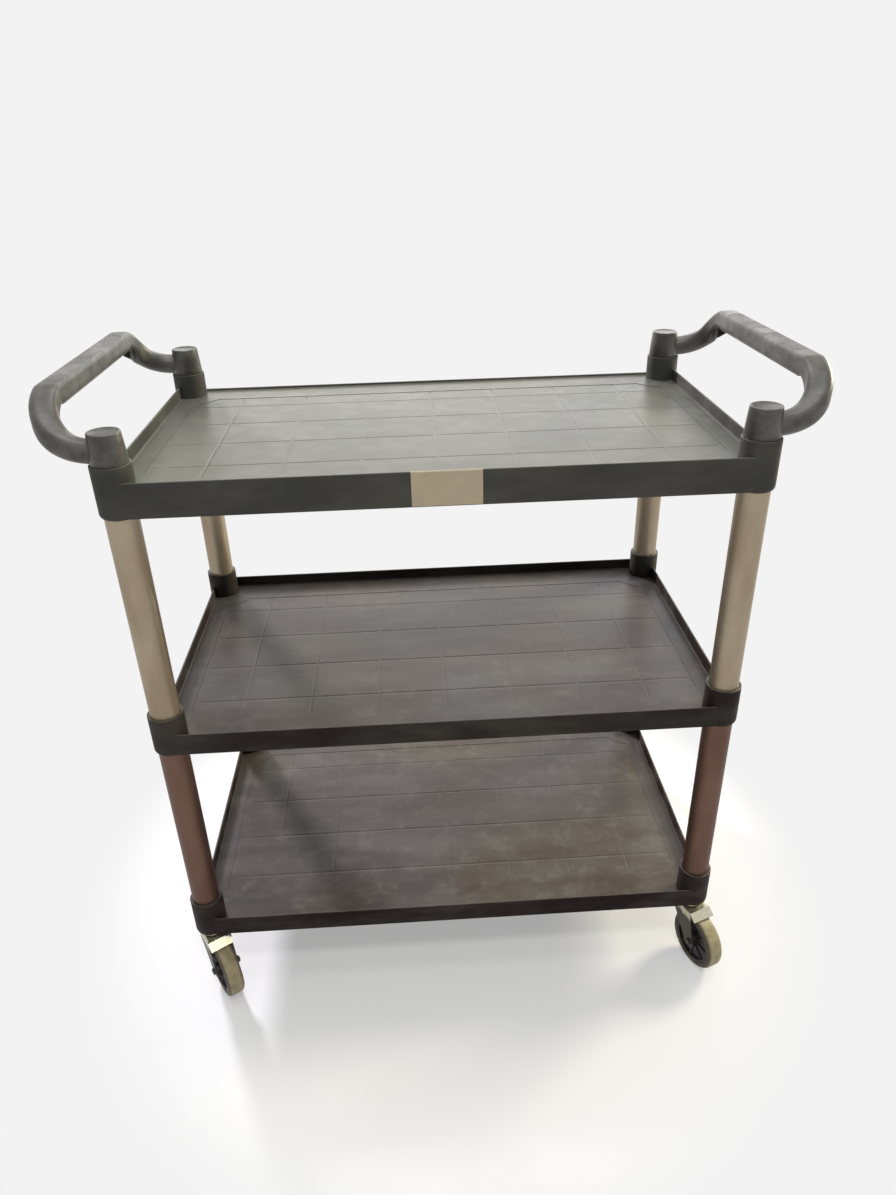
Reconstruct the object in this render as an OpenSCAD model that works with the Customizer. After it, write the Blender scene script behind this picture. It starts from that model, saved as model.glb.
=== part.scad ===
// Three-tier food service trolley: moulded trays on aluminium posts, with swivel casters.
// Origin on the ground below the middle of the trays, X along the length, -Y the front.

/* [Overall] */
// Distance between the left and right post axes
post_pitch_x = 800; // [660:5:960]
// Distance between the front and rear post axes
post_pitch_y = 448; // [370:2:540]
// Height from the bottom tray to the middle tray
lower_tier = 369; // [300:1:450]
// Height from the middle tray to the top tray
upper_tier = 363; // [300:1:440]

/* [Trays] */
// Outer face of the side rims, beyond the post axes
rim_reach_x = 15.5; // [12:0.5:20]
// Outer face of the front and rear rims, beyond the post axes
rim_reach_y = 23; // [18:0.5:28]
// Thickness of the rims
rim_wall = 3.5; // [3:0.1:4.5]
// Depth of a tray, from the top of its rim to its floor
tray_depth = 18.5; // [15:0.5:24]
// Thickness of a tray's floor
floor_wall = 3; // [2.5:0.1:4]
// Height of the skirt round the top tray
top_skirt = 46; // [38:0.5:56]
// Height of the skirt round the middle and bottom trays
low_skirt = 33.5; // [28:0.5:42]
// Height of the top tray's low rear rim above its floor
rear_lip = 4; // [3:0.5:8]
// Distance between the ribs and their marks along the length
rib_pitch_x = 102; // [85:1:125]
// Distance between the ribs and their marks across the depth
rib_pitch_y = 94; // [78:1:112]
// Thickness of the ribs under a floor
rib_wall = 2.4; // [2:0.1:3.5]
// Border between the floor's panel and the post axes at the sides
panel_inset_x = 17; // [12:1:40]
// Border between the floor's panel and the post axes at the front and rear
panel_inset_y = 35; // [25:1:50]

/* [Posts and sockets] */
// Outer diameter of the posts
post_d = 42; // [34:0.5:50.5]
// Wall of the posts
post_wall = 1.5; // [1.2:0.1:2.5]
// Wall of the sockets that the posts stand in
socket_wall = 4; // [3:0.25:6]
// Height of the top and bottom trays' sockets
socket_h = 68; // [56:1:82]
// Height of the middle tray's sockets
mid_socket_h = 62.5; // [52:0.5:76]
// How far a socket reaches below its skirt
socket_drop = 3; // [1:0.5:5]
// Height of the lower post's seat above the foot of the middle tray's socket
mid_seat = 26; // [20:1:34]
// Radial clearance of a post in its socket
post_gap = 0.25; // [0.1:0.05:0.5]

/* [Handles] */
// Distance of the grip's centre line from the post axes
grip_reach = 80; // [66:0.5:96]
// Height of the grip's centre line above the top sockets
grip_rise = 67; // [55:1:81]
// Length of the grip's straight stretch
grip_len = 314; // [260:1:378]
// Width of the grip
grip_w = 34; // [28:0.5:41]
// Thickness of the grip
grip_t = 30; // [25:0.5:36]
// Diameter of the arms where they leave the bosses
arm_d = 30.5; // [25:0.5:37]
// Clearance of the arms above the top sockets
arm_lift = 0.5; // [0.3:0.1:2]
// Height of the bosses
boss_h = 39.5; // [36:0.5:47]
// Diameter of a boss at its foot
boss_d = 46.5; // [42:0.5:50]
// Diameter of a boss at its top
boss_top_d = 40.5; // [36:0.5:42]
// Length of the spigots inside the posts
spigot_len = 55; // [40:1:80]

/* [Casters] */
// Diameter of the wheels
wheel_d = 97; // [81:1:116]
// Width of the wheels
wheel_w = 27.5; // [23:0.5:33]
// Trail of a wheel behind its swivel axis
trail = 31; // [26:0.5:37]
// Thickness of the fork's plate
fork_wall = 2.8; // [2.2:0.1:3.5]
// Diameter of the stem in its plug
stem_d = 11; // [9:0.5:13]
// Length of the stem inside the post
stem_len = 40; // [32:1:50]
// Diameter of the axle bolt
axle_d = 6; // [5:0.5:8]
// Diameter of the bearing balls
ball_d = 4.8; // [4:0.1:5.6]
// Swivel angle of the front left caster
turn_front_left = 302; // [0:1:359]
// Swivel angle of the front right caster
turn_front_right = 291; // [0:1:359]

/* [Label] */
// Width of the blank label on the top tray's front rim
label_w = 88; // [60:1:110]
// Distance of the label's centre to the right of the middle
label_x = 6; // [-100:1:100]
// Thickness of the label
label_t = 0.4; // [0.3:0.1:0.8]

/* [Hidden] */
$fn = 64;
LEFT = -1;
RIGHT = 1;
FRONT = -1;
REAR = 1;
CORNERS = [[LEFT, FRONT], [RIGHT, FRONT], [LEFT, REAR], [RIGHT, REAR]];
eps = 0.01;

// Swivel angle of each caster: the rear ones point the opposite way to the front ones
turns = [turn_front_left, turn_front_right, turn_front_right - 180, turn_front_left - 180];

// Half sizes of the post square and of the trays' rims
half_x = post_pitch_x / 2;
half_y = post_pitch_y / 2;
rim_x = half_x + rim_reach_x;
rim_y = half_y + rim_reach_y;

// Caster heights, from the ground up
wheel_r = wheel_d / 2;
crown_gap = 9;
race_gap = 0.3;
plate_z = wheel_d + crown_gap;
plate_top = plate_z + fork_wall;
cup_ceiling = plate_top + ball_d + 2 * race_gap;
cup_wall = 2.6;
base_z = cup_ceiling + cup_wall;

// Tray heights: the underside of each skirt
bottom_z = base_z + socket_drop;
middle_z = bottom_z + lower_tier;
top_z = middle_z + upper_tier;

// Posts and sockets
post_r = post_d / 2;
post_bore_r = post_r - post_wall;
socket_bore_r = post_r + post_gap;
socket_r = socket_bore_r + socket_wall;
socket_foot_round = 6.5;
socket_top_round = 0.9;
foot_lip = 4;
mid_web = 4;
top_lip = 3;
stem_hole_r = stem_d / 2 + 1;
lower_post_z = base_z + foot_lip;
lower_post_top = middle_z - socket_drop + mid_seat;
upper_post_z = lower_post_top + mid_web;
top_socket_top = top_z - socket_drop + socket_h;
upper_post_top = top_socket_top - top_lip;

// Tray details
fillet_r = 3;
mark_r = 7;
mark_depth = 0.45;
panel_drop = 0.5;
panel_corner_r = 62;
rib_gap = 1.5;
label_gap = 0.03;
label_foot = 1;

// How far a cutter passes the face that it cuts, and joined shapes run into each other
cut = 1;

// Handle details
spigot_gap = 0.2;
boss_round = 1.6;
arm_rise = arm_d / 2 + arm_lift;
arm_hold = 0.91 * grip_reach;
arm_dip = 6.5;
corner_run = 22.5;
corner_drop = 12.5;
arm_steps = 14;
ring_sides = 32;
grip_square = 4.6;

// Caster details
pin_r = 5;
pin_gap = 0.08;
cup_r = 19;
cup_skirt = 5;
cup_foot_round = 0.8;
cup_top_round = 2.2;
ball_count = 12;
ball_ring_r = 12.4;
washer_r = 9;
washer_t = 2;
head_r = 7.5;
head_t = 3;
side_gap = 0.3;
sleeve_wall = 2.5;
sleeve_gap = 0.08;
axle_hole_gap = 0.1;
hub_proud = 2.4;
leg_gap = wheel_w / 2 + hub_proud + side_gap;
fork_half = leg_gap + fork_wall;
fork_bend = 4;
fork_back = 18;
fork_front = 25;
fork_foot_r = 10.5;
apron_run = 14;
apron_fall = 10;
apron_root = 2;
apron_edge = 1;
back_drop = 9;
leg_slant = 3;
leg_swell = 3;
leg_shoulder = 12;
hub_r = wheel_r - 9.5;
hub_rim = 5;
rim_inset = 1.5;
hub_web = 17;
boss_hub_r = 12;
spoke_count = 8;
spoke_w = 3;
tread_round = 7;
hex_across = 10;
head_h = 3.5;
nut_h = 4.5;
bolt_end = 1;
plug_gap = 0.2;
plug_over = 3;
snug_gap = 0.05;
edge_cut = 2;
stem_gap = 0.1;

// ---------- shared shapes ----------

// Puts a child on the post axis of corner i
module at_post(i) {
    translate([CORNERS[i][0] * half_x, CORNERS[i][1] * half_y, 0]) children();
}

// Puts a child, drawn with its wheel trailing along +X, at caster i
module at_caster(i) {
    at_post(i) rotate([0, 0, turns[i]]) children();
}

// Puts a child, drawn round the Z axis, on caster i's axle
module at_axle(i) {
    at_caster(i) translate([trail, 0, wheel_r]) rotate([90, 0, 0]) children();
}

// A post-like round bar with rounded edges at its foot and at its top
module round_bar(r, h, foot, crown) {
    rotate_extrude() intersection() {
        square([r, h]);
        union() {
            translate([0, foot]) square([r, h - foot - crown]);
            square([r - foot, h]);
            translate([r - foot, foot]) circle(r = foot);
            translate([0, h - 2 * crown]) square([r - crown, 2 * crown]);
            translate([r - crown, h - crown]) circle(r = crown);
        }
    }
}

// A straight ring: outer radius, inner radius and height
module ring(r, bore, h) {
    difference() {
        cylinder(r = r, h = h);
        translate([0, 0, -cut]) cylinder(r = bore, h = h + 2 * cut);
    }
}

// ---------- trays ----------

// Section of a rim: a wall with a rounded top edge and a fillet at the floor
module rim_section(h, floor_h) {
    square([rim_wall, h - rim_wall / 2]);
    translate([rim_wall / 2, h - rim_wall / 2]) circle(d = rim_wall);
    translate([rim_wall - eps, floor_h - eps]) difference() {
        square(fillet_r);
        translate([fillet_r, fillet_r]) circle(r = fillet_r);
    }
}

// A rim along X on one side (FRONT or REAR) of the tray
module long_rim(side, h, floor_h) {
    rotate([0, 0, side == REAR ? 180 : 0])
        translate([-half_x, -rim_y, 0])
            rotate([90, 0, 90]) linear_extrude(post_pitch_x) rim_section(h, floor_h);
}

// A rim along Y on one side (LEFT or RIGHT) of the tray
module side_rim(side, h, floor_h) {
    rotate([0, 0, side == RIGHT ? 180 : 0])
        translate([-rim_x, half_y, 0])
            rotate([90, 0, 0]) linear_extrude(post_pitch_y) rim_section(h, floor_h);
}

// The floor's plate, which ends inside the rims and the sockets
module floor_plate() {
    linear_extrude(floor_wall) union() {
        square([post_pitch_x, 2 * rim_y - rim_wall], center = true);
        square([2 * rim_x - rim_wall, post_pitch_y], center = true);
    }
}

// Outline of the floor's lowered panel, cut back round the four sockets
module panel_outline() {
    difference() {
        square([2 * (half_x - panel_inset_x), 2 * (half_y - panel_inset_y)], center = true);
        for (c = CORNERS) translate([c[0] * half_x, c[1] * half_y]) circle(r = panel_corner_r);
    }
}

// Places of the ribs on each side of the middle
function rib_places_x() = let (n = floor((half_x - panel_inset_x - fillet_r) / rib_pitch_x))
    [for (k = [-n : n]) k * rib_pitch_x];
function rib_places_y() = let (n = floor((half_y - panel_inset_y - fillet_r) / rib_pitch_y + 0.5))
    [for (k = [0.5 - n : n - 0.5]) k * rib_pitch_y];

// Ribs under the floor, in line with the marks on top of it
module ribs(h) {
    for (x = rib_places_x())
        translate([x - rib_wall / 2, -rim_y + rim_wall / 2, 0]) cube([rib_wall, 2 * rim_y - rim_wall, h]);
    for (y = rib_places_y())
        translate([-rim_x + rim_wall / 2, y - rib_wall / 2, 0]) cube([2 * rim_x - rim_wall, rib_wall, h]);
}

// Soft marks that the ribs leave in the panel
module rib_marks() {
    reach_x = half_x - panel_inset_x - mark_r;
    reach_y = half_y - panel_inset_y - mark_r;
    for (x = rib_places_x())
        translate([x, -reach_y, mark_r - mark_depth]) rotate([-90, 0, 0])
            cylinder(r = mark_r, h = 2 * reach_y);
    for (y = rib_places_y())
        translate([-reach_x, y, mark_r - mark_depth]) rotate([0, 90, 0])
            cylinder(r = mark_r, h = 2 * reach_x);
}

// A tray whose skirt stands on z = 0: socket height, skirt height and height of its rear rim
module tray(sock_h, skirt, rear_h) {
    floor_top = skirt - tray_depth;
    floor_z = floor_top - floor_wall;
    difference() {
        union() {
            long_rim(FRONT, skirt, floor_top);
            long_rim(REAR, rear_h, floor_top);
            side_rim(LEFT, skirt, floor_top);
            side_rim(RIGHT, skirt, floor_top);
            translate([0, 0, floor_z]) floor_plate();
            translate([0, 0, rib_gap]) ribs(floor_z - rib_gap + eps);
            for (i = [0 : 3]) at_post(i) translate([0, 0, -socket_drop])
                round_bar(socket_r, sock_h, socket_foot_round, socket_top_round);
        }
        translate([0, 0, floor_top - panel_drop]) linear_extrude(panel_drop + cut) panel_outline();
        translate([0, 0, floor_top - panel_drop]) rib_marks();
        for (i = [0 : 3]) at_post(i) translate([0, 0, -socket_drop]) children();
    }
}

module top_tray() {
    color("#5f605b") translate([0, 0, top_z]) tray(socket_h, top_skirt, top_skirt - tray_depth + rear_lip) {
        union() {
            translate([0, 0, -cut]) cylinder(r = socket_bore_r, h = socket_h - top_lip + cut);
            cylinder(r = post_bore_r, h = socket_h + cut);
        }
    }
}

module middle_tray() {
    color("#4f4e4c") translate([0, 0, middle_z]) tray(mid_socket_h, low_skirt, low_skirt) {
        union() {
            translate([0, 0, -cut]) cylinder(r = socket_bore_r, h = mid_seat + cut);
            translate([0, 0, mid_seat + mid_web]) cylinder(r = socket_bore_r, h = mid_socket_h);
        }
    }
}

module bottom_tray() {
    color("#4a4846") translate([0, 0, bottom_z]) tray(socket_h, low_skirt, low_skirt) {
        union() {
            translate([0, 0, foot_lip]) cylinder(r = socket_bore_r, h = socket_h);
            translate([0, 0, -cut]) cylinder(r = stem_hole_r, h = socket_h);
        }
    }
}

// A blank label on the front rim, folded over its top edge
module blank_label() {
    bend_z = top_skirt - rim_wall / 2;
    color("#d3c6ae") translate([label_x - label_w / 2, -rim_y, top_z])
        rotate([90, 0, 90]) linear_extrude(label_w) difference() {
            union() {
                translate([-label_gap - label_t, label_foot]) square([rim_wall, bend_z - label_foot]);
                translate([rim_wall / 2, bend_z]) circle(r = rim_wall / 2 + label_gap + label_t);
            }
            translate([-label_gap, 0]) square([2 * rim_wall, bend_z]);
            translate([rim_wall / 2, bend_z]) circle(r = rim_wall / 2 + label_gap);
            translate([rim_wall / 2, bend_z - rim_wall]) square([rim_wall, 3 * rim_wall]);
        }
}

// ---------- posts ----------

module upper_post(i) {
    color("#a99a8a") at_post(i) translate([0, 0, upper_post_z])
        ring(post_r, post_bore_r, upper_post_top - upper_post_z);
}

module lower_post(i) {
    color("#8b776b") at_post(i) translate([0, 0, lower_post_z])
        ring(post_r, post_bore_r, lower_post_top - lower_post_z);
}

// ---------- handles ----------

// A point of the cubic curve through a, with handles b and c, to d
function curve(a, b, c, d, t) =
    pow(1 - t, 3) * a + 3 * pow(1 - t, 2) * t * b + 3 * (1 - t) * t * t * c + t * t * t * d;
function unit(v) = v / norm(v);

// The front arm's centre line, as [outward, along Y, height above the socket]
arm_foot = [0, -half_y, arm_rise];
arm_out = [arm_hold, -half_y, arm_rise - arm_dip];
arm_in = [grip_reach, -half_y + corner_run, grip_rise - corner_drop];
arm_end = [grip_reach, -grip_len / 2, grip_rise];
front_arm = [for (k = [0 : arm_steps]) curve(arm_foot, arm_out, arm_in, arm_end, k / arm_steps)];
rear_arm = [for (k = [arm_steps : -1 : 0]) [front_arm[k][0], -front_arm[k][1], front_arm[k][2]]];
grip_line = concat(front_arm, rear_arm);
ring_total = len(grip_line);

// How far the section has changed from the arm's circle, 0, to the grip's oblong, 1
function squareness(k) = let (s = min(k, ring_total - 1 - k) / arm_steps) s * s * (3 - 2 * s);

// A point of the section, between a circle and a rounded oblong, at angle a
function section_point(a, s) =
    let (n = 2 + (grip_square - 2) * s, w = (arm_d + (grip_w - arm_d) * s) / 2,
         t = (arm_d + (grip_t - arm_d) * s) / 2, c = cos(a), q = sin(a))
    [w * sign(c) * pow(abs(c), 2 / n), t * sign(q) * pow(abs(q), 2 / n)];

// Direction of the centre line at ring k
function heading(k) = k == 0 ? [1, 0, 0] : k == ring_total - 1 ? [-1, 0, 0] :
    unit(grip_line[k + 1] - grip_line[k - 1]);

// The ring of points round the centre line at ring k
function handle_ring(k) =
    let (d = heading(k), side = unit(cross(d, [0, 0, 1])), up = cross(side, d))
    [for (j = [0 : ring_sides - 1]) let (p = section_point(360 * j / ring_sides, squareness(k)))
        grip_line[k] + p[0] * side + p[1] * up];

// The arms and the grip of the handle, for a post axis at X = 0 and the grip at +X
module handle_bar() {
    points = [for (k = [0 : ring_total - 1]) each handle_ring(k)];
    wall = [for (k = [0 : ring_total - 2]) for (j = [0 : ring_sides - 1])
        let (m = (j + 1) % ring_sides, lo = k * ring_sides, hi = lo + ring_sides)
        each [[lo + j, lo + m, hi + j], [lo + m, hi + m, hi + j]]];
    first_cap = [for (j = [ring_sides - 1 : -1 : 0]) j];
    last_cap = [for (j = [0 : ring_sides - 1]) (ring_total - 1) * ring_sides + j];
    polyhedron(points, concat(wall, [first_cap], [last_cap]));
}

// A tapered boss that stands on a socket, with a spigot for the inside of its post
module handle_boss() {
    difference() {
        cylinder(d1 = boss_d, d2 = boss_top_d, h = boss_h);
        translate([0, 0, boss_h]) rotate_extrude()
            translate([boss_top_d / 2 - boss_round, -boss_round]) difference() {
                square(2 * boss_round);
                circle(r = boss_round);
            }
    }
    translate([0, 0, -spigot_len]) cylinder(r = post_bore_r - spigot_gap, h = spigot_len + cut);
}

module handle(side) {
    color("#6f6c64") translate([side * half_x, 0, top_socket_top]) mirror([side == LEFT ? 1 : 0, 0, 0]) {
        handle_bar();
        for (y = [-half_y, half_y]) translate([0, y, 0]) handle_boss();
    }
}

// ---------- casters ----------

// Plug inside the foot of a post, which grips the caster's stem
module stem_plug(i) {
    color("#2b2b2a") at_post(i) translate([0, 0, lower_post_z])
        ring(post_bore_r - plug_gap, stem_d / 2 + stem_gap, stem_len - foot_lip + plug_over);
}

// Stem and swivel pin in one, with the head that holds the washer
module stem(i) {
    pin_foot = plate_z - race_gap - washer_t - head_t;
    color("#b9b8ac") at_post(i) union() {
        translate([0, 0, pin_foot]) cylinder(r = pin_r, h = base_z - pin_foot + cut);
        translate([0, 0, pin_foot]) cylinder(r1 = head_r - edge_cut, r2 = head_r, h = head_t);
        translate([0, 0, base_z]) cylinder(d = stem_d, h = stem_len - edge_cut);
        translate([0, 0, base_z + stem_len - edge_cut])
            cylinder(r1 = stem_d / 2, r2 = stem_d / 2 - edge_cut, h = edge_cut);
    }
}

// Pressed cup under the socket, which the balls run in
module bearing_cup(i) {
    color("#cfcbb8") at_post(i) translate([0, 0, cup_ceiling - cup_skirt + cup_wall]) difference() {
        round_bar(cup_r, cup_skirt, cup_foot_round, cup_top_round);
        translate([0, 0, -cut]) cylinder(r = cup_r - cup_wall, h = cup_skirt - cup_wall + cut);
        translate([0, 0, -cut]) cylinder(r = pin_r + snug_gap, h = cup_skirt + 2 * cut);
    }
}

module balls(i) {
    color("#d8d8d6") at_post(i) for (k = [0 : ball_count - 1]) rotate([0, 0, 360 * k / ball_count])
        translate([ball_ring_r, 0, plate_top + race_gap + ball_d / 2]) sphere(d = ball_d);
}

module washer(i) {
    color("#c4c3b6") at_post(i) translate([0, 0, plate_z - race_gap - washer_t])
        ring(washer_r, pin_r + snug_gap, washer_t);
}

// Side view of the fork: its legs narrow from the plate down to the axle
module fork_side() {
    polygon([
        [-fork_back, plate_top], [-fork_back, plate_z - back_drop],
        [trail - fork_foot_r, wheel_r - leg_slant],
        [trail, wheel_r - fork_foot_r], [trail + fork_foot_r, wheel_r],
        [fork_front + leg_swell, plate_z - leg_shoulder], [fork_front, plate_z - fork_wall],
        [fork_front, plate_top]
    ]);
    translate([trail, wheel_r]) circle(r = fork_foot_r);
}

// Front view of the fork: plate and legs with rounded bends
module fork_front_view() {
    difference() {
        union() {
            translate([-fork_half, 0]) square([2 * fork_half, plate_top - fork_bend]);
            translate([-fork_half + fork_bend, 0]) square([2 * (fork_half - fork_bend), plate_top]);
            for (s = [-1, 1]) translate([s * (fork_half - fork_bend), plate_top - fork_bend])
                circle(r = fork_bend);
        }
        translate([-leg_gap, -cut]) square([2 * leg_gap, plate_z - fork_bend + fork_wall + cut]);
        translate([-leg_gap + fork_bend - fork_wall, -cut])
            square([2 * (leg_gap - fork_bend + fork_wall), plate_z + cut]);
        for (s = [-1, 1]) translate([s * (fork_half - fork_bend), plate_top - fork_bend])
            circle(r = fork_bend - fork_wall);
    }
}

// Apron that slopes down from the plate's edge over the wheel
module fork_apron() {
    rotate([90, 0, 0]) linear_extrude(2 * fork_half, center = true) polygon([
        [fork_front - apron_root, plate_top], [fork_front - apron_root, plate_z], [fork_front, plate_z],
        [fork_front + apron_run - fork_wall, plate_top - apron_fall],
        [fork_front + apron_run, plate_top - apron_fall + apron_edge], [fork_front + apron_edge, plate_top]
    ]);
}

module fork(i) {
    color("#9c9a8c") at_caster(i) difference() {
        union() {
            intersection() {
                translate([-fork_back - cut, 0, 0]) rotate([90, 0, 90])
                    linear_extrude(fork_back + trail + wheel_r) fork_front_view();
                translate([0, fork_half + cut, 0]) rotate([90, 0, 0])
                    linear_extrude(2 * (fork_half + cut)) fork_side();
            }
            fork_apron();
        }
        translate([0, 0, plate_z - cut]) cylinder(r = pin_r + pin_gap, h = fork_wall + 2 * cut);
        translate([trail, fork_half + cut, wheel_r]) rotate([90, 0, 0])
            cylinder(r = axle_d / 2 + axle_hole_gap, h = 2 * (fork_half + cut));
    }
}

module axle_bolt(i) {
    color("#a6a59b") at_axle(i) union() {
        translate([0, 0, -fork_half - nut_h - bolt_end])
            cylinder(d = axle_d, h = 2 * fork_half + nut_h + bolt_end + cut);
        translate([0, 0, fork_half]) cylinder(d = hex_across / cos(30), h = head_h, $fn = 6);
    }
}

module axle_nut(i) {
    color("#a6a59b") at_axle(i) translate([0, 0, -fork_half - nut_h]) difference() {
        cylinder(d = hex_across / cos(30), h = nut_h, $fn = 6);
        translate([0, 0, -cut]) cylinder(r = axle_d / 2 + axle_hole_gap / 2, h = nut_h + 2 * cut);
    }
}

// Steel sleeve on the axle bolt, between the fork's legs, which the hub runs on
module axle_sleeve(i) {
    color("#b5b4ab") at_axle(i) translate([0, 0, -leg_gap])
        ring(axle_d / 2 + sleeve_wall, axle_d / 2 + axle_hole_gap, 2 * leg_gap);
}

module hub(i) {
    hub_w = 2 * (leg_gap - side_gap);
    rim_half = wheel_w / 2 - rim_inset;
    spoke_half = rim_half - rim_inset;
    color("#2e2c2a") at_axle(i) difference() {
        union() {
            translate([0, 0, -hub_w / 2]) cylinder(r = boss_hub_r, h = hub_w);
            translate([0, 0, -hub_web / 2]) cylinder(r = hub_r - cut, h = hub_web);
            translate([0, 0, -rim_half]) ring(hub_r, hub_r - hub_rim, 2 * rim_half);
            for (k = [0 : spoke_count - 1]) rotate([0, 0, 360 * k / spoke_count])
                translate([boss_hub_r - cut, -spoke_w / 2, -spoke_half])
                    cube([hub_r - hub_rim - boss_hub_r + 2 * cut, spoke_w, 2 * spoke_half]);
        }
        translate([0, 0, -hub_w]) cylinder(r = axle_d / 2 + sleeve_wall + sleeve_gap, h = 2 * hub_w);
    }
}

module tread(i) {
    color("#8c8467") at_axle(i) rotate_extrude() difference() {
        union() {
            translate([hub_r, -wheel_w / 2 + tread_round])
                square([wheel_r - hub_r, wheel_w - 2 * tread_round]);
            translate([hub_r, -wheel_w / 2]) square([wheel_r - tread_round - hub_r, wheel_w]);
            for (s = [-1, 1]) translate([wheel_r - tread_round, s * (wheel_w / 2 - tread_round)])
                circle(r = tread_round);
        }
        square([2 * (hub_r + snug_gap), 2 * wheel_w], center = true);
    }
}

top_tray();
middle_tray();
bottom_tray();
handle(LEFT);  // left_handle
handle(RIGHT);  // right_handle
blank_label();
upper_post(0);  // front_left_upper_post
upper_post(1);  // front_right_upper_post
upper_post(2);  // rear_left_upper_post
upper_post(3);  // rear_right_upper_post
lower_post(0);  // front_left_lower_post
lower_post(1);  // front_right_lower_post
lower_post(2);  // rear_left_lower_post
lower_post(3);  // rear_right_lower_post
stem_plug(0);  // front_left_stem_plug
stem_plug(1);  // front_right_stem_plug
stem_plug(2);  // rear_left_stem_plug
stem_plug(3);  // rear_right_stem_plug
stem(0);  // front_left_stem
stem(1);  // front_right_stem
stem(2);  // rear_left_stem
stem(3);  // rear_right_stem
bearing_cup(0);  // front_left_bearing_cup
bearing_cup(1);  // front_right_bearing_cup
bearing_cup(2);  // rear_left_bearing_cup
bearing_cup(3);  // rear_right_bearing_cup
balls(0);  // front_left_balls
balls(1);  // front_right_balls
balls(2);  // rear_left_balls
balls(3);  // rear_right_balls
washer(0);  // front_left_washer
washer(1);  // front_right_washer
washer(2);  // rear_left_washer
washer(3);  // rear_right_washer
fork(0);  // front_left_fork
fork(1);  // front_right_fork
fork(2);  // rear_left_fork
fork(3);  // rear_right_fork
axle_bolt(0);  // front_left_axle_bolt
axle_bolt(1);  // front_right_axle_bolt
axle_bolt(2);  // rear_left_axle_bolt
axle_bolt(3);  // rear_right_axle_bolt
axle_nut(0);  // front_left_axle_nut
axle_nut(1);  // front_right_axle_nut
axle_nut(2);  // rear_left_axle_nut
axle_nut(3);  // rear_right_axle_nut
axle_sleeve(0);  // front_left_axle_sleeve
axle_sleeve(1);  // front_right_axle_sleeve
axle_sleeve(2);  // rear_left_axle_sleeve
axle_sleeve(3);  // rear_right_axle_sleeve
hub(0);  // front_left_hub
hub(1);  // front_right_hub
hub(2);  // rear_left_hub
hub(3);  // rear_right_hub
tread(0);  // front_left_tread
tread(1);  // front_right_tread
tread(2);  // rear_left_tread
tread(3);  // rear_right_tread
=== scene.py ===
"""Food service trolley: finishes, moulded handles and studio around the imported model."""
import math

import bmesh
import bpy
import numpy as np
from mathutils import Euler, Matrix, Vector


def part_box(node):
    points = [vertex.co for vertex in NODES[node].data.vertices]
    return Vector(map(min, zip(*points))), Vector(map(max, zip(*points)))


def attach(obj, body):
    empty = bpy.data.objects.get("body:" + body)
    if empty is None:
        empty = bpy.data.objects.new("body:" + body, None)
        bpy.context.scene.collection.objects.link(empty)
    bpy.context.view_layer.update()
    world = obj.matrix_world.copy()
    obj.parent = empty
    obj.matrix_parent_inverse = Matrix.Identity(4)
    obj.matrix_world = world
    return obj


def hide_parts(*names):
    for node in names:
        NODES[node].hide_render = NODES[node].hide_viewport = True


bl_info = {
    "name": "Food service trolley",
    "version": (1, 0, 0),
    "blender": (4, 5, 0),
    "location": "View3D > Sidebar > Trolley",
    "description": "Finishes and moulded handles of a three-tier food service trolley",
    "category": "Object",
}

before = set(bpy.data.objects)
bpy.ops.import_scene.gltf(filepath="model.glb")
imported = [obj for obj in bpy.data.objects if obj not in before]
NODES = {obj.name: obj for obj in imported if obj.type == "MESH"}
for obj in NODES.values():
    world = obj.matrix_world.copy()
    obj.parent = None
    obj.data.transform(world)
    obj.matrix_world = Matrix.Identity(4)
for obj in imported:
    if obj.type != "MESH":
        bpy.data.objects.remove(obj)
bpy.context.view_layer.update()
MM = 0.001
CORNERS = ("front_left", "front_right", "rear_left", "rear_right")
TRAYS = ("top_tray", "middle_tray", "bottom_tray")


# ---------- colours and nodes ----------

def linear(hex_code):
    """An sRGB hex colour as linear RGBA."""
    values = [int(hex_code[i:i + 2], 16) / 255 for i in (1, 3, 5)]
    return [c / 12.92 if c <= 0.04045 else ((c + 0.055) / 1.055) ** 2.4 for c in values] + [1.0]


def add_node(tree, kind, settings=None, **inputs):
    """Adds a node, sets its properties, then sets or links its inputs. An input's name has _ for a space."""
    node = tree.nodes.new(kind)
    for name, value in (settings or {}).items():
        setattr(node, name, value)
    for name, value in inputs.items():
        numbered = name[0] == "i" and name[1:].isdigit()
        socket = node.inputs[int(name[1:]) if numbered else name.replace("_", " ")]
        if isinstance(value, bpy.types.NodeSocket):
            tree.links.new(value, socket)
        else:
            socket.default_value = value
    return node


def new_material(name):
    """An empty node material, its tree and the object's own coordinates, in metres."""
    material = bpy.data.materials.new(name)
    material.use_nodes = True
    tree = material.node_tree
    tree.nodes.clear()
    return material, tree, add_node(tree, "ShaderNodeTexCoord").outputs["Object"]


def noise(tree, place, size_mm, detail=3.0, roughness=0.55, stretch=(1, 1, 1)):
    """Noise whose features are about size_mm across, stretched along the axes."""
    spot = add_node(tree, "ShaderNodeMapping", Vector=place, Scale=[1 / s for s in stretch])
    return add_node(tree, "ShaderNodeTexNoise", Vector=spot.outputs[0], Scale=1 / (size_mm * MM),
                    Detail=detail, Roughness=roughness).outputs["Fac"]


def ramp(tree, value, low, high, out_low=0.0, out_high=1.0):
    """Maps value from low..high to out_low..out_high, smoothly and clamped."""
    return add_node(tree, "ShaderNodeMapRange", {"interpolation_type": "SMOOTHSTEP"}, Value=value,
                    From_Min=low, From_Max=high, To_Min=out_low, To_Max=out_high).outputs["Result"]


def mix(tree, share, a, b, mode="MIX"):
    """Mixes two colours."""
    node = add_node(tree, "ShaderNodeMix", {"data_type": "RGBA", "blend_type": mode}, i0=share, i6=a, i7=b)
    return node.outputs[2]


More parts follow.
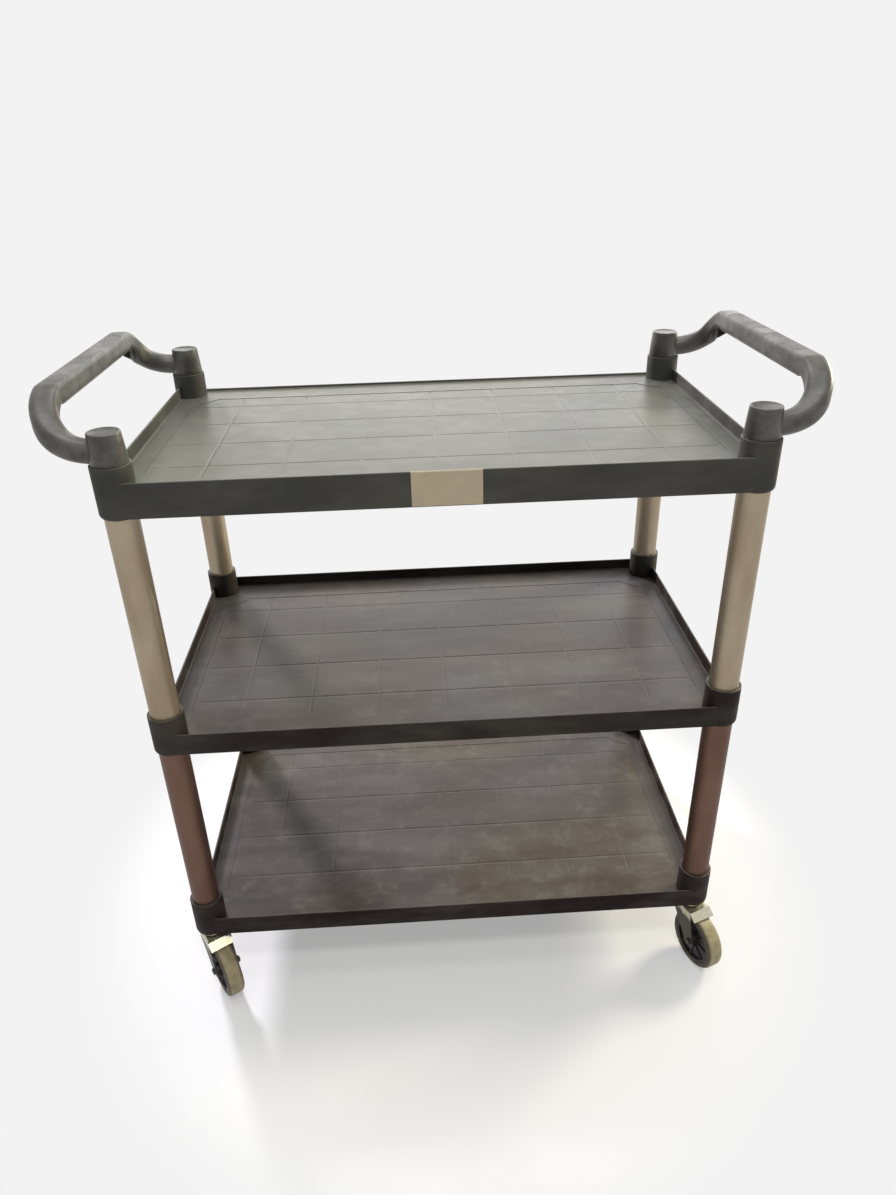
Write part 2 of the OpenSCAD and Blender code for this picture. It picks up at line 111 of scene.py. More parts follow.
def math_node(tree, operation, a, b=0.0):
    """One sum, product or the like of two values."""
    return add_node(tree, "ShaderNodeMath", {"operation": operation}, i0=a, i1=b).outputs[0]


def bump(tree, height, depth_mm, strength=1.0, under=None):
    """A bump of depth_mm from a height between 0 and 1, over another bump if one is given."""
    made = add_node(tree, "ShaderNodeBump", Height=height, Distance=depth_mm * MM, Strength=strength)
    if under is not None:
        tree.links.new(under, made.inputs["Normal"])
    return made.outputs["Normal"]


def finish_surface(tree, **inputs):
    """The surface shader and the material's output."""
    shader = add_node(tree, "ShaderNodeBsdfPrincipled", **inputs)
    add_node(tree, "ShaderNodeOutputMaterial", Surface=shader.outputs[0])


# ---------- materials ----------

def moulded_polypropylene(name, wall, floor, dust, warm, cool):
    """Injection-moulded polypropylene: spark-eroded grain, flow marks and dusty scuffs; up-facing surfaces take
    the paler floor colour as painted sheen, the walls a darker colour as painted shade.
    """
    material, tree, place = new_material(name)
    normal = tree.nodes["Texture Coordinate"].outputs["Normal"]
    upward = add_node(tree, "ShaderNodeSeparateXYZ", Vector=normal).outputs["Z"]
    grain = noise(tree, place, 1.2, 2.0, 0.6)  # the real grain is 0.3 mm, which would not show
    flow = noise(tree, place, 70, 4.0, 0.6, (3.0, 1.0, 1.0))
    cloud = noise(tree, place, 30, 5.0, 0.65)
    scuff = noise(tree, place, 4, 6.0, 0.72, (7.0, 1.0, 1.0))
    facing = ramp(tree, upward, 0.6, 0.98)
    broad = noise(tree, place, 260, 1.0, 0.4)
    # painted light: up-facing surfaces take the paler floor colour as painted sheen, the walls the darker wall
    # colour as painted shade
    body = mix(tree, facing, linear(wall), linear(floor))
    # broad warm and cool patches of random tone, carrying the tray's painted sheen and shade
    tinted = mix(tree, ramp(tree, broad, 0.40, 0.60), linear(cool), linear(warm))
    body = mix(tree, math_node(tree, "MULTIPLY", facing, 0.45), body, tinted)
    body = mix(tree, ramp(tree, flow, 0.35, 0.68, 0.0, 0.32), body, mix(tree, 0.5, body, linear(dust)))
    worn = math_node(tree, "MULTIPLY", facing, ramp(tree, cloud, 0.46, 0.78, 0.0, 0.22))
    body = mix(tree, worn, body, linear(dust))
    marked = math_node(tree, "MULTIPLY", facing, ramp(tree, scuff, 0.60, 0.76, 0.0, 0.3))
    body = mix(tree, marked, body, linear(dust))
    patchy = ramp(tree, cloud, 0.3, 0.7, 0.36, 0.46)
    rough = math_node(tree, "ADD", patchy, ramp(tree, scuff, 0.5, 0.75, 0.0, 0.07))
    rough = math_node(tree, "ADD", rough, ramp(tree, facing, 0.0, 1.0, 0.22, -0.05))
    finish_surface(tree, Base_Color=body, Roughness=rough, IOR=1.49,
                   Specular_IOR_Level=ramp(tree, facing, 0.0, 1.0, 0.12, 0.26),
                   Normal=bump(tree, grain, 0.05, 0.5, bump(tree, flow, 0.4, 0.25)))
    return material


def satin_grip_plastic(name, colour, worn):
    """Moulded polypropylene rubbed by hands: smoother and shinier than the trays, paler where it is handled."""
    material, tree, place = new_material(name)
    grain = noise(tree, place, 1.4, 2.0, 0.5)
    cloud = noise(tree, place, 30, 4.0, 0.6)
    colour_out = mix(tree, ramp(tree, cloud, 0.35, 0.68), linear(colour), linear(worn))
    finish_surface(tree, Base_Color=colour_out, Roughness=ramp(tree, cloud, 0.3, 0.7, 0.42, 0.34), IOR=1.49,
                   Specular_IOR_Level=0.4, Normal=bump(tree, grain, 0.04, 0.35))
    return material


def anodised_aluminium(name, colour, shade):
    """Satin anodised tube: extrusion lines along its length and a slightly uneven tint."""
    material, tree, place = new_material(name)
    lines = noise(tree, place, 1.2, 2.0, 0.6, (1.0, 1.0, 400.0))
    tint = noise(tree, place, 45, 3.0, 0.5, (1.0, 1.0, 3.0))
    colour_out = mix(tree, ramp(tree, tint, 0.35, 0.65), linear(colour), linear(shade))
    finish_surface(tree, Base_Color=colour_out, Metallic=1.0, Roughness=ramp(tree, lines, 0.3, 0.7, 0.45, 0.53),
                   Normal=bump(tree, lines, 0.02, 0.25))
    return material


def zinc_plated_steel(name, colour, passivate, grime_and_shade=None, unshaded_z=0.0):
    """Pressed steel with yellowish passivated zinc plating; where a dark colour is given, it darkens towards
    the bottom, below a given height, as painted shade.
    """
    material, tree, place = new_material(name)
    cloud = noise(tree, place, 7, 4.0, 0.6)
    fine = noise(tree, place, 1.2, 3.0, 0.6)
    plated = mix(tree, ramp(tree, cloud, 0.38, 0.64), linear(colour), linear(passivate))
    rough = ramp(tree, fine, 0.3, 0.7, 0.26, 0.38)
    if grime_and_shade is None:
        finish_surface(tree, Base_Color=plated, Metallic=1.0, Roughness=rough,
                       Normal=bump(tree, fine, 0.03, 0.3))
        return material
    height = add_node(tree, "ShaderNodeSeparateXYZ", Vector=place).outputs["Z"]
    wander = math_node(tree, "ADD", height, ramp(tree, cloud, 0.3, 0.7, -3 * MM, 3 * MM))
    # painted shade: darker towards the bottom, below the given height
    painted_shade_share = ramp(tree, wander, unshaded_z - 9 * MM, unshaded_z, 1.0, 0.0)
    shaded_plate = mix(tree, math_node(tree, "MULTIPLY", painted_shade_share, 0.92), plated, linear(grime_and_shade))
    dull = math_node(tree, "ADD", rough, math_node(tree, "MULTIPLY", painted_shade_share, 0.16))
    finish_surface(tree, Base_Color=shaded_plate, Metallic=1.0, Roughness=dull, Normal=bump(tree, fine, 0.03, 0.3))
    return material


def polished_steel(name):
    """Ground and polished bearing steel with a trace of grease."""
    material, tree, place = new_material(name)
    grease = noise(tree, place, 2, 3.0, 0.5)
    finish_surface(tree, Base_Color=linear("#c9c9c6"), Metallic=1.0,
                   Roughness=ramp(tree, grease, 0.4, 0.7, 0.12, 0.3))
    return material


def thermoplastic_rubber(name, colour, grime_and_shade, side, axle):
    """Thermoplastic rubber tyre: matt and chalky where it rolls, with its sides darker, partly floor dirt and
    partly painted shade.
    """
    material, tree, place = new_material(name)
    normal = tree.nodes["Texture Coordinate"].outputs["Normal"]
    dot = add_node(tree, "ShaderNodeVectorMath", {"operation": "DOT_PRODUCT"}, i0=normal, i1=axle)
    along = dot.outputs["Value"]
    shoulder = ramp(tree, math_node(tree, "ABSOLUTE", along), 0.25, 0.9)
    dirt = noise(tree, place, 14, 5.0, 0.6)
    pores = noise(tree, place, 1.0, 3.0, 0.6)
    # random dirt patches, in a colour darkened in part as painted shade
    body = mix(tree, ramp(tree, dirt, 0.38, 0.70, 0.0, 0.55), linear(colour), linear(grime_and_shade))
    # painted shade: the sidewalls, facing along the axle, take the darker side colour, which is partly dirt
    body = mix(tree, shoulder, body, linear(side))
    finish_surface(tree, Base_Color=body, Roughness=ramp(tree, dirt, 0.3, 0.7, 0.5, 0.66), IOR=1.5,
                   Normal=bump(tree, pores, 0.05, 0.4))
    return material


def moulded_nylon(name, colour, dust):
    """Moulded black nylon with random patches of dust."""
    material, tree, place = new_material(name)
    cloud = noise(tree, place, 8, 4.0, 0.6)
    grain = noise(tree, place, 0.9, 2.0, 0.5)
    colour_out = mix(tree, ramp(tree, cloud, 0.45, 0.75, 0.0, 0.5), linear(colour), linear(dust))
    finish_surface(tree, Base_Color=colour_out, Roughness=0.48, IOR=1.53, Normal=bump(tree, grain, 0.04, 0.4))
    return material


def coated_paper(name, colour, stain):
    """A blank coated paper label, slightly stained."""
    material, tree, place = new_material(name)
    fibre = noise(tree, place, 1.5, 4.0, 0.7)
    patch = noise(tree, place, 25, 4.0, 0.6)
    colour_out = mix(tree, ramp(tree, patch, 0.4, 0.7, 0.0, 0.6), linear(colour), linear(stain))
    finish_surface(tree, Base_Color=colour_out, Roughness=0.55, IOR=1.45, Normal=bump(tree, fibre, 0.02, 0.3))
    return material


# ---------- properties ----------

def hex_property(name, description, default):
    return bpy.props.StringProperty(name=name, description=description, default=default)


def length_property(name, description, default_mm):
    return bpy.props.FloatProperty(name=name, description=description, default=default_mm * MM,
                                   unit="LENGTH", precision=4)


class TrolleyFinish(bpy.types.PropertyGroup):
    """Colours of the finishes, as sRGB hex codes."""
    # Tray colours are lit and shaded copies of one plastic: walls darker as painted shade, floors paler as
    # painted sheen, and the lower trays darker and browner than the top tray as painted shade.
    top_wall_painted_shade: hex_property("Top tray walls", "Moulded polypropylene of the top tray's rims", "#3b3b37")
    top_floor_painted_sheen: hex_property("Top tray floor", "Scuffed floor of the top tray", "#50514a")
    middle_wall_painted_shade: hex_property("Middle tray walls", "Moulded polypropylene of the middle tray's rims", "#221b17")
    middle_floor_sheen_and_shade: hex_property("Middle tray floor", "Scuffed floor of the middle tray", "#454240")
    bottom_wall_painted_shade: hex_property("Bottom tray walls", "Moulded polypropylene of the bottom tray's rims", "#1a0e0c")
    bottom_floor_sheen_and_shade: hex_property("Bottom tray floor", "Scuffed floor of the bottom tray", "#403b37")
    tray_dust: hex_property("Tray dust", "Dusty scuffs on the trays' floors", "#7d7c74")
    # Broad patch colours for the tray floors: random tone, paler on the top tray as painted sheen, darker and
    # browner on the lower trays as painted shade.
    top_warm_painted_sheen: hex_property("Top warm", "Yellowed patches of the top tray", "#5e6050")
    top_cool_painted_sheen: hex_property("Top cool", "Cleaner patches of the top tray", "#51514e")
    low_warm_painted_shade: hex_property("Lower warm", "Brownish patches of the lower trays", "#43392e")
    low_cool_painted_shade: hex_property("Lower cool", "Purplish patches of the lower trays", "#464246")
    grip: hex_property("Handle", "Moulded plastic of the handles", "#3f3e3a")
    grip_worn: hex_property("Handle worn", "Where hands have rubbed the handles", "#595751")
    upper_tube: hex_property("Upper post", "Anodised aluminium of the upper posts", "#a89a86")
    upper_shade: hex_property("Upper post shade", "Darker tint of the upper posts", "#988973")
    # The lower posts are the same aluminium as the upper posts, coloured darker and warmer as painted shade and
    # a painted warm reflection.
    lower_tube_shade_and_reflection: hex_property("Lower post", "Anodised aluminium of the lower posts", "#745b4f")
    lower_tint_shade_and_reflection: hex_property("Lower post shade", "Darker tint of the lower posts", "#684f45")
    zinc: hex_property("Zinc", "Zinc plating of the casters", "#bebdad")
    passivate: hex_property("Passivate", "Yellowish tint of the zinc plating", "#bdb79c")
    # Painted shade: the forks' legs and axle parts darken towards the bottom.
    leg_painted_shade: hex_property("Leg grime", "Dirt on the legs of the forks", "#3c3b36")
    tread: hex_property("Tread", "Thermoplastic rubber of the wheels", "#9d9371")
    # Random dirt patches on the wheels, their colour darkened in part as painted shade.
    grime_and_shade: hex_property("Grime", "Floor dirt on the wheels", "#6e5d43")
    # The wheels' sides: partly rubbed-in dirt, partly painted shade.
    tread_side_dirt_and_shade: hex_property("Tread side", "Dirt rubbed into the sides of the wheels", "#443a2e")
    hub: hex_property("Hub", "Nylon of the wheel hubs", "#171513")
    hub_dust: hex_property("Hub dust", "Dust on the nylon", "#26231f")
    label: hex_property("Label", "Blank label", "#ac9f88")
    label_stain: hex_property("Label stain", "Stains on the label", "#b6a78d")


class TrolleyHandle(bpy.types.PropertyGroup):
    """Sizes of the moulded handles."""
    grip_width: length_property("Grip width", "Across the grip's top", 33.6)
    grip_height: length_property("Grip height", "From the grip's top to its foot", 29.6)
    arm_diameter: length_property("Arm diameter", "Where an arm leaves its boss", 30.1)
    groove_pitch: length_property("Groove pitch", "Distance between the grooves in the grip", 4.3)
    groove_width: length_property("Groove width", "Width of a groove in the grip", 2.3)
    groove_depth: length_property("Groove depth", "Depth of the grooves in the grip", 1.3)
    groove_count: bpy.props.IntProperty(name="Grooves", description="Grooves in each group", default=6,
                                        min=1, max=8)


class TrolleyStage(bpy.types.PropertyGroup):
    """Camera and light."""
    camera_place: bpy.props.FloatVectorProperty(name="Camera place", description="Camera position", size=3,
                                                subtype="TRANSLATION", unit="LENGTH",
                                                default=(-0.0379, -1.2299, 1.2567))
    camera_turn: bpy.props.FloatVectorProperty(name="Camera turn", description="Tilt, roll and heading", size=3,
                                               subtype="EULER", unit="ROTATION",
                                               default=[math.radians(a) for a in (61.509, 1.369, -3.142)])
    lens: bpy.props.FloatProperty(name="Lens", description="Focal length, mm, on 36 mm", default=25.753)
    backdrop: hex_property("Backdrop", "Colour of the floor and the backdrop as they are seen", "#f3f3f3")
    floor: hex_property("Floor", "Colour of the floor as it is lit", "#e4e4e3")


# ---------- mesh helpers ----------

def give(obj, material):
    """Gives a piece its one material."""
    obj.data.materials.clear()
    obj.data.materials.append(material)


def new_mesh_object(name, points, faces, smooth_angle=40):
    """A mesh object from points in metres, with outward normals and smooth shading below an angle."""
    mesh = bpy.data.meshes.new(name)
    mesh.from_pydata([tuple(p) for p in points], [], faces)
    shaped = bmesh.new()
    shaped.from_mesh(mesh)
    bmesh.ops.recalc_face_normals(shaped, faces=shaped.faces)
    shaped.to_mesh(mesh)
    shaped.free()
    for polygon in mesh.polygons:
        polygon.use_smooth = True
    mesh.set_sharp_from_angle(angle=math.radians(smooth_angle))
    obj = bpy.data.objects.new(name, mesh)
    bpy.context.scene.collection.objects.link(obj)
    return obj


# ---------- handles ----------

def smoothstep(t):
    t = np.clip(t, 0, 1)
    return t * t * (3 - 2 * t)


def cubic(a, b, c, d, t):
    return (1 - t) ** 3 * a + 3 * (1 - t) ** 2 * t * b + 3 * (1 - t) * t * t * c + t ** 3 * d


class HandleShape:
    """The handle's centre line and sections, in metres, for a post axis at X = 0 and the grip at +X."""
    ARM_RISE = 15.75 * MM
    REACH = 80 * MM
    RISE = 67 * MM
    GRIP_LENGTH = 314 * MM
    ARM_HOLD = 0.91 * REACH
    ARM_DIP = 6.5 * MM
    CORNER_RUN = 22.5 * MM
    CORNER_DROP = 12.5 * MM
    ARM_STEPS = 49
    SIDES = 224
    WALL = 3 * MM

    def __init__(self, settings, half_y):
        self.settings = settings
        self.half_y = half_y
        foot = np.array([0, -half_y, self.ARM_RISE])
        out = np.array([self.ARM_HOLD, -half_y, self.ARM_RISE - self.ARM_DIP])
        into = np.array([self.REACH, -half_y + self.CORNER_RUN, self.RISE - self.CORNER_DROP])
        end = np.array([self.REACH, -self.GRIP_LENGTH / 2, self.RISE])
        arm = np.array([cubic(foot, out, into, end, t) for t in np.linspace(0, 1, self.ARM_STEPS)])
        grip_y = np.arange(-self.GRIP_LENGTH / 2, self.GRIP_LENGTH / 2 + 1e-6, 1.5 * MM)[1:-1]
        grip = np.array([[self.REACH, y, self.RISE] for y in grip_y])
        self.line = np.vstack([arm, grip, arm[::-1] * [1, -1, 1]])
        turn = smoothstep(np.linspace(0, 1, self.ARM_STEPS))
        self.square = np.concatenate([turn, np.ones(len(grip)), turn[::-1]])
        steps = np.linalg.norm(np.diff(self.line, axis=0), axis=1)
        self.travel = np.concatenate([[0], np.cumsum(steps)])

    def outline(self, share):
        """The section's points, from the arm's circle at share 0 to the grip's oblong at 1, evenly spaced."""
        s = self.settings
        angle = np.linspace(0, 2 * np.pi, 1441)
        c, q = np.cos(angle), np.sin(angle)
        power = np.where(q > 0, np.where(c < 0, 6.0, 4.0), 3.6)
        power = 2 + (power - 2) * share
        half_w = (s.arm_diameter + (s.grip_width - s.arm_diameter) * share) / 2
        half_h = (s.arm_diameter + (s.grip_height - s.arm_diameter) * share) / 2
        x = half_w * np.sign(c) * np.abs(c) ** (2 / power)
        z = half_h * np.sign(q) * np.abs(q) ** (2 / power)
        run = np.concatenate([[0], np.cumsum(np.hypot(np.diff(x), np.diff(z)))])
        even = np.linspace(0, run[-1], self.SIDES, endpoint=False)
        return np.interp(even, run, x), np.interp(even, run, z), half_w, half_h

    def groove(self, across, along):
        """How deep the grooves cut at places across the grip, at one place along it."""
        s = self.settings
        middle = (s.groove_count - 1) / 2
        depth = np.zeros_like(across)
        for k in range(s.groove_count):
            start = 15 * MM + 1.5 * MM * (k % 2)
            finish = 133 * MM - 2.5 * MM * abs(k - middle)
            ends = smoothstep((abs(along) - start) / (5 * MM)) * smoothstep((finish - abs(along)) / (5 * MM))
            offset = (across + 1.2 * MM - (k - middle) * s.groove_pitch) / s.groove_width
            depth += float(ends) * np.exp(-(2 * offset) ** 2)
        return s.groove_depth * depth

    def hollow(self, k):
        """How far the hollow underside of the moulding opens at ring k, near the two corners."""
        from_end = min(self.travel[k], self.travel[-1] - self.travel[k])
        corner = self.travel[self.ARM_STEPS - 1]
        begun = smoothstep((from_end - corner + 62 * MM) / (22 * MM))
        not_ended = smoothstep((corner + 12 * MM - from_end) / (20 * MM))
        return float(begun * not_ended)

    def section(self, k):
        """The ring of points round the centre line at ring k."""
        line, share = self.line, self.square[k]
        ahead = line[min(k + 1, len(line) - 1)] - line[max(k - 1, 0)]
        ahead /= np.linalg.norm(ahead)
        side = np.cross(ahead, [0, 0, 1])
        side /= np.linalg.norm(side)
        up = np.cross(side, ahead)
        x, z, half_w, half_h = self.outline(share)
        if share > 0.97:
            z = np.where(z > 0.7 * half_h, z - self.groove(x, line[k][1]), z)
        opened = self.hollow(k)
        inner_edge = np.where((z < 0) & (x < 0), 0.30 * opened, 0.0)
        z = z * (1 - inner_edge)
        pocket = (z < -0.3 * half_h) & (np.abs(x) < half_w - self.WALL)
        z = np.where(pocket, z + opened * 1.05 * half_h, z)
        return line[k] + x[:, None] * side + z[:, None] * up


def build_handle(side, box, settings, boss_settings):
    """One handle as a mesh: side is -1 for the left and 1 for the right."""
    half_y = (box[1].y - box[0].y) / 2 - boss_settings["foot_r"]
    shape = HandleShape(settings, half_y)
    rings = [shape.section(k) for k in range(len(shape.line))]
    n = shape.SIDES
    points = [p for ring in rings for p in ring]
    faces = [[k * n + j, k * n + (j + 1) % n, (k + 1) * n + (j + 1) % n, (k + 1) * n + j]
             for k in range(len(rings) - 1) for j in range(n)]
    faces.append(list(range(n))[::-1])
    faces.append([(len(rings) - 1) * n + j for j in range(n)])
    for y in (-half_y, half_y):
        add_boss(points, faces, y, boss_settings)
    place = Vector((side * boss_settings["post_x"], 0, boss_settings["foot_z"]))
    world = [Vector((side * p[0], p[1], p[2])) + place for p in points]
    name = "left_handle_moulding" if side < 0 else "right_handle_moulding"
    return new_mesh_object(name, world, faces, 50)


def add_boss(points, faces, y, boss):
    """Adds a tapered boss with rounded top edge, a shallow rim on its disc and a spigot, as a turned shape."""
    r0, r1, h, edge = boss["foot_r"], boss["top_r"], boss["height"], boss["edge_r"]
    profile = [(0, -boss["spigot"]), (boss["spigot_r"] - 1.5 * MM, -boss["spigot"]),
               (boss["spigot_r"], -boss["spigot"] + 3 * MM), (boss["spigot_r"], 0.0),
               (r0 - 0.4 * MM, 0.0), (r0, 0.4 * MM)]
    for k in range(9):
        a = k / 8 * math.pi / 2
        profile.append((r1 - edge + edge * math.cos(a), h - edge + edge * math.sin(a)))
    profile += [(r1 - 3.0 * MM, h), (r1 - 3.4 * MM, h - 0.35 * MM), (0, h - 0.35 * MM)]
    sides = 96
    loops = []
    for r, z in profile:
        if r == 0:
            loops.append([len(points)])
            points.append(np.array([0, y, z]))
            continue
        loops.append(list(range(len(points), len(points) + sides)))
        for j in range(sides):
            a = 2 * math.pi * j / sides
            points.append(np.array([r * math.cos(a), y + r * math.sin(a), z]))
    for low, high in zip(loops, loops[1:]):
        for j in range(sides):
            m = (j + 1) % sides
            quad = [low[j % len(low)], low[m % len(low)], high[m % len(high)], high[j % len(high)]]
            faces.append(list(dict.fromkeys(quad)))


# ---------- operators ----------

class TROLLEY_OT_trays(bpy.types.Operator):
    """Finish the three moulded trays"""
    bl_idname = "trolley.trays"
    bl_label = "Trays"

    def execute(self, context):
        finish = context.scene.trolley_finish
        # lit and shaded copies of one plastic: painted sheen on the top tray, painted shade on the lower trays
        tints = ((finish.top_wall_painted_shade, finish.top_floor_painted_sheen, finish.top_warm_painted_sheen, finish.top_cool_painted_sheen),
                 (finish.middle_wall_painted_shade, finish.middle_floor_sheen_and_shade, finish.low_warm_painted_shade, finish.low_cool_painted_shade),
                 (finish.bottom_wall_painted_shade, finish.bottom_floor_sheen_and_shade, finish.low_warm_painted_shade, finish.low_cool_painted_shade))
        for name, (wall, floor, warm, cool) in zip(TRAYS, tints):
            material = moulded_polypropylene(f"moulded_polypropylene_{name}", wall, floor, finish.tray_dust,
                                             warm, cool)
            give(NODES[name], material)
        return {"FINISHED"}


class TROLLEY_OT_posts(bpy.types.Operator):
    """Finish the anodised aluminium posts"""
    bl_idname = "trolley.posts"
    bl_label = "Posts"

    def execute(self, context):
        finish = context.scene.trolley_finish
        upper = anodised_aluminium("anodised_aluminium_upper", finish.upper_tube, finish.upper_shade)
        # the lower posts: darker and warmer as painted shade and a painted warm reflection
        lower = anodised_aluminium("anodised_aluminium_lower_shade_and_reflection", finish.lower_tube_shade_and_reflection, finish.lower_tint_shade_and_reflection)
        for corner in CORNERS:
            give(NODES[f"{corner}_upper_post"], upper)
            give(NODES[f"{corner}_lower_post"], lower)
        return {"FINISHED"}


class TROLLEY_OT_handles(bpy.types.Operator):
    """Build the two moulded handles with their grooved grips"""
    bl_idname = "trolley.handles"
    bl_label = "Handles"

    def execute(self, context):
        scene = context.scene
        finish = scene.trolley_finish
        material = satin_grip_plastic("satin_grip_plastic", finish.grip, finish.grip_worn)
        post_low, post_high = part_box("front_right_upper_post")
        tray_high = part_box("top_tray")[1]
        spigot_r = (post_high.x - post_low.x) / 2 - 1.7 * MM
        boss = {"post_x": (post_low.x + post_high.x) / 2, "foot_z": tray_high.z, "foot_r": 23.25 * MM,
                "top_r": 20.25 * MM, "height": 39.5 * MM, "edge_r": 1.6 * MM, "spigot": 55 * MM,
                "spigot_r": spigot_r}
        for side, node in ((-1, "left_handle"), (1, "right_handle")):
            piece = build_handle(side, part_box(node), scene.trolley_handle, boss)
            give(piece, material)
            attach(piece, "root")
            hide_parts(node)
        return {"FINISHED"}


def axle_direction(corner):
    """The direction of a caster's axle, square to the way from the swivel's axis to the wheel's centre."""
    post, wheel = (sum(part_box(f"{corner}_{part}"), Vector()) / 2 for part in ("lower_post", "tread"))
    trail = wheel - post
    return Vector((trail.y, -trail.x, 0)).normalized()


class TROLLEY_OT_casters(bpy.types.Operator):
    """Finish the casters: plating, nylon, steel and rubber"""
    bl_idname = "trolley.casters"
    bl_label = "Casters"

    def execute(self, context):
        finish = context.scene.trolley_finish
        zinc = zinc_plated_steel("zinc_plated_steel", finish.zinc, finish.passivate)
        crown_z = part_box("front_left_tread")[1].z + 3 * MM
        # forks and axle parts: darker below about the wheel's top, as painted shade
        shaded_zinc = zinc_plated_steel("zinc_plated_steel_painted_shade", finish.zinc, finish.passivate,
                                       finish.leg_painted_shade, crown_z)
        nylon = moulded_nylon("moulded_nylon", finish.hub, finish.hub_dust)
        steel = polished_steel("bearing_steel")
        looks = {part: (zinc, "zinc_plated_steel") for part in ("stem", "bearing_cup", "washer")}
        for part in ("fork", "axle_bolt", "axle_nut", "axle_sleeve"):
            looks[part] = (shaded_zinc, "zinc_plated_steel")
        looks.update(balls=(steel, "bearing_steel"), hub=(nylon, "hub_plastic"),
                     stem_plug=(nylon, "black_plastic"))
        for corner in CORNERS:
            for part, (material, slot) in looks.items():
                give(NODES[f"{corner}_{part}"], material)
            axle = axle_direction(corner)
            rubber = thermoplastic_rubber(f"thermoplastic_rubber_{corner}", finish.tread, finish.grime_and_shade,
                                          finish.tread_side_dirt_and_shade, axle)
            give(NODES[f"{corner}_tread"], rubber)
        return {"FINISHED"}


class TROLLEY_OT_label(bpy.types.Operator):
    """Finish the blank label"""
    bl_idname = "trolley.label"
    bl_label = "Label"

    def execute(self, context):
        finish = context.scene.trolley_finish
        paper = coated_paper("coated_paper", finish.label, finish.label_stain)
        give(NODES["blank_label"], paper)
        return {"FINISHED"}


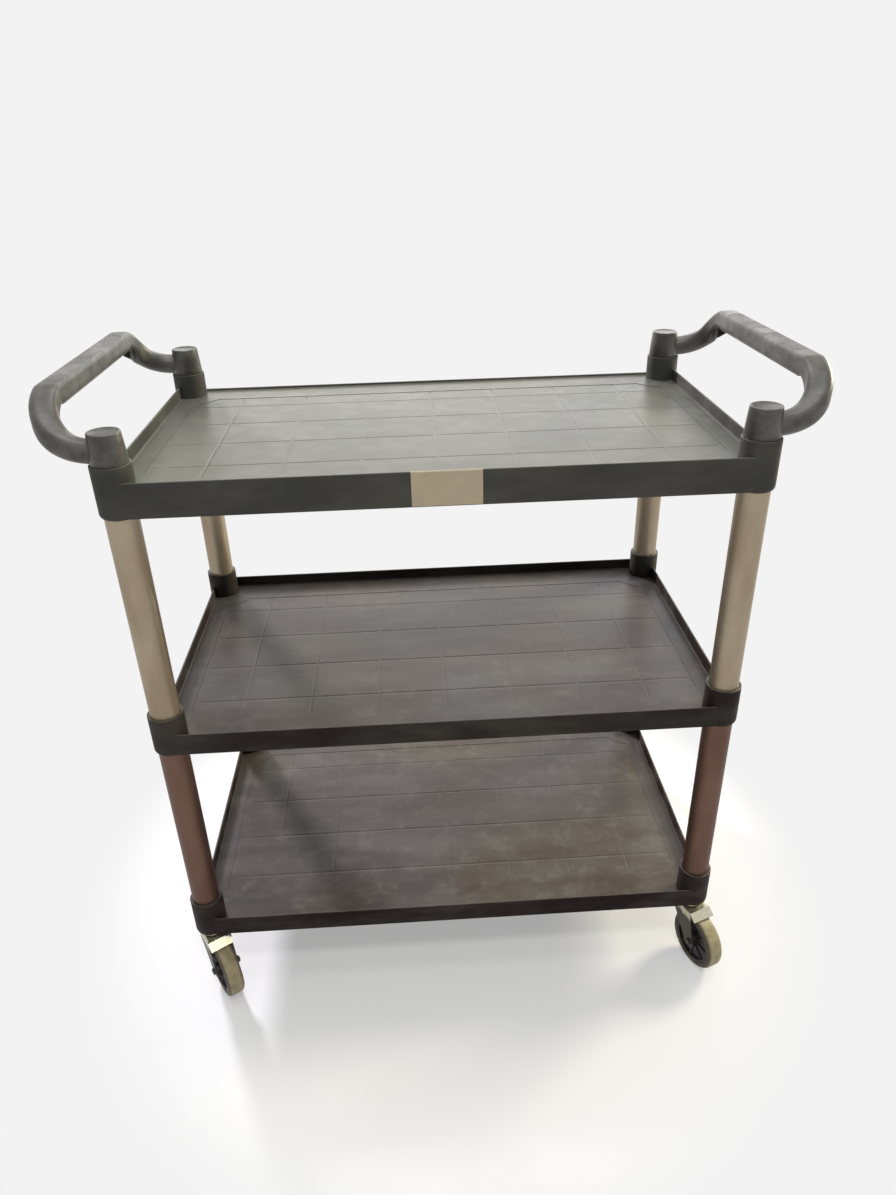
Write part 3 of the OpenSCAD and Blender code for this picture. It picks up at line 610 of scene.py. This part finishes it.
class TROLLEY_OT_stage(bpy.types.Operator):
    """Set up the pale floor, the soft studio light and the camera"""
    bl_idname = "trolley.stage"
    bl_label = "Stage"

    def execute(self, context):
        scene = context.scene
        stage = scene.trolley_stage
        self.add_floor(scene, stage)
        self.add_world(scene, stage)
        self.add_lights(scene)
        self.add_camera(scene, stage)
        scene.view_settings.view_transform = "Standard"
        return {"FINISHED"}

    def add_floor(self, scene, stage):
        size = 6.0
        corners = [(-size, -size, 0), (size, -size, 0), (size, size, 0), (-size, size, 0)]
        floor = new_mesh_object("studio_floor", corners, [[0, 1, 2, 3]])
        material, tree, place = new_material("pale_studio_floor")
        shader = add_node(tree, "ShaderNodeBsdfDiffuse", Color=linear(stage.floor))
        glow = add_node(tree, "ShaderNodeEmission", Color=linear(stage.backdrop), Strength=1.0)
        paths = add_node(tree, "ShaderNodeLightPath")
        seen = math_node(tree, "MAXIMUM", paths.outputs["Is Camera Ray"], paths.outputs["Is Glossy Ray"])
        distance = add_node(tree, "ShaderNodeVectorMath", {"operation": "LENGTH"}, i0=place).outputs["Value"]
        bright = math_node(tree, "MULTIPLY", seen, ramp(tree, distance, 0.44, 0.70, 0.40, 1.0))
        blend = add_node(tree, "ShaderNodeMixShader", Fac=bright, i1=shader.outputs[0], i2=glow.outputs[0])
        add_node(tree, "ShaderNodeOutputMaterial", Surface=blend.outputs[0])
        floor.data.materials.append(material)

    def add_world(self, scene, stage):
        world = bpy.data.worlds.new("studio")
        world.use_nodes = True
        scene.world = world
        tree = world.node_tree
        tree.nodes.clear()
        paths = add_node(tree, "ShaderNodeLightPath")
        glossy, through = paths.outputs["Is Glossy Ray"], paths.outputs["Is Transmission Ray"]
        mirrored = math_node(tree, "MAXIMUM", glossy, through)
        seen = math_node(tree, "MAXIMUM", paths.outputs["Is Camera Ray"], mirrored)
        light = add_node(tree, "ShaderNodeBackground", Color=linear("#f2f2f0"), Strength=0.25)
        shown = add_node(tree, "ShaderNodeBackground", Color=linear(stage.backdrop), Strength=1.0)
        blend = add_node(tree, "ShaderNodeMixShader", Fac=seen, i1=light.outputs[0], i2=shown.outputs[0])
        add_node(tree, "ShaderNodeOutputWorld", Surface=blend.outputs[0])

    def add_lights(self, scene):
        lamps = [("overhead_softbox", (0.0, 0.7, 5.5), (0.0, 0.0, 0.5), 4.0, 165, "#ffffff"),
                 ("rear_softbox", (0.4, 3.4, 1.9), (0.0, 0.0, 0.7), 3.4, 40, "#ffffff"),
                 ("rear_left_lamp", (-1.68, 2.62, 1.5), (0.0, 0.0, 0.4), 0.45, 225, "#faf6ff"),
                 ("right_lamp", (2.5, 1.1, 1.6), (0.2, 0.0, 0.4), 0.9, 105, "#fff6da"),
                 ("front_lamp", (0.15, -1.6, 3.0), (0.1, 0.0, 0.8), 0.45, 26, "#ffffff")]
        for name, place, target, size, power, tint in lamps:
            lamp = bpy.data.lights.new(name, "AREA")
            lamp.shape = "DISK"
            lamp.size = size
            lamp.energy = power
            lamp.color = linear(tint)[:3]
            obj = bpy.data.objects.new(name, lamp)
            obj.location = place
            obj.rotation_euler = (Vector(target) - Vector(place)).to_track_quat("-Z", "Y").to_euler()
            obj.visible_glossy = name != "rear_left_lamp"  # it casts the posts' shadows, without a glint
            scene.collection.objects.link(obj)

    def add_camera(self, scene, stage):
        camera = bpy.data.cameras.new("camera")
        camera.lens = stage.lens
        camera.sensor_width = 36.0
        obj = bpy.data.objects.new("camera", camera)
        obj.location = stage.camera_place
        obj.rotation_euler = Euler(stage.camera_turn)
        scene.collection.objects.link(obj)
        scene.camera = obj


class TROLLEY_PT_panel(bpy.types.Panel):
    """Lists the trolley's pieces"""
    bl_idname = "TROLLEY_PT_panel"
    bl_label = "Food service trolley"
    bl_space_type = "VIEW_3D"
    bl_region_type = "UI"
    bl_category = "Trolley"

    def draw(self, context):
        for operator in OPERATORS:
            self.layout.operator(operator.bl_idname)


OPERATORS = (TROLLEY_OT_stage, TROLLEY_OT_trays, TROLLEY_OT_posts, TROLLEY_OT_handles, TROLLEY_OT_casters,
             TROLLEY_OT_label)
GROUPS = {"trolley_finish": TrolleyFinish, "trolley_handle": TrolleyHandle, "trolley_stage": TrolleyStage}
CLASSES = (*GROUPS.values(), *OPERATORS, TROLLEY_PT_panel)


def register():
    for cls in CLASSES:
        bpy.utils.register_class(cls)
    for name, group in GROUPS.items():
        setattr(bpy.types.Scene, name, bpy.props.PointerProperty(type=group))


def unregister():
    for name in GROUPS:
        delattr(bpy.types.Scene, name)
    for cls in reversed(CLASSES):
        bpy.utils.unregister_class(cls)


def main():
    register()
    bpy.ops.trolley.stage()
    bpy.ops.trolley.trays()
    bpy.ops.trolley.posts()
    bpy.ops.trolley.handles()
    bpy.ops.trolley.casters()
    bpy.ops.trolley.label()


if __name__ == "__main__":
    main()
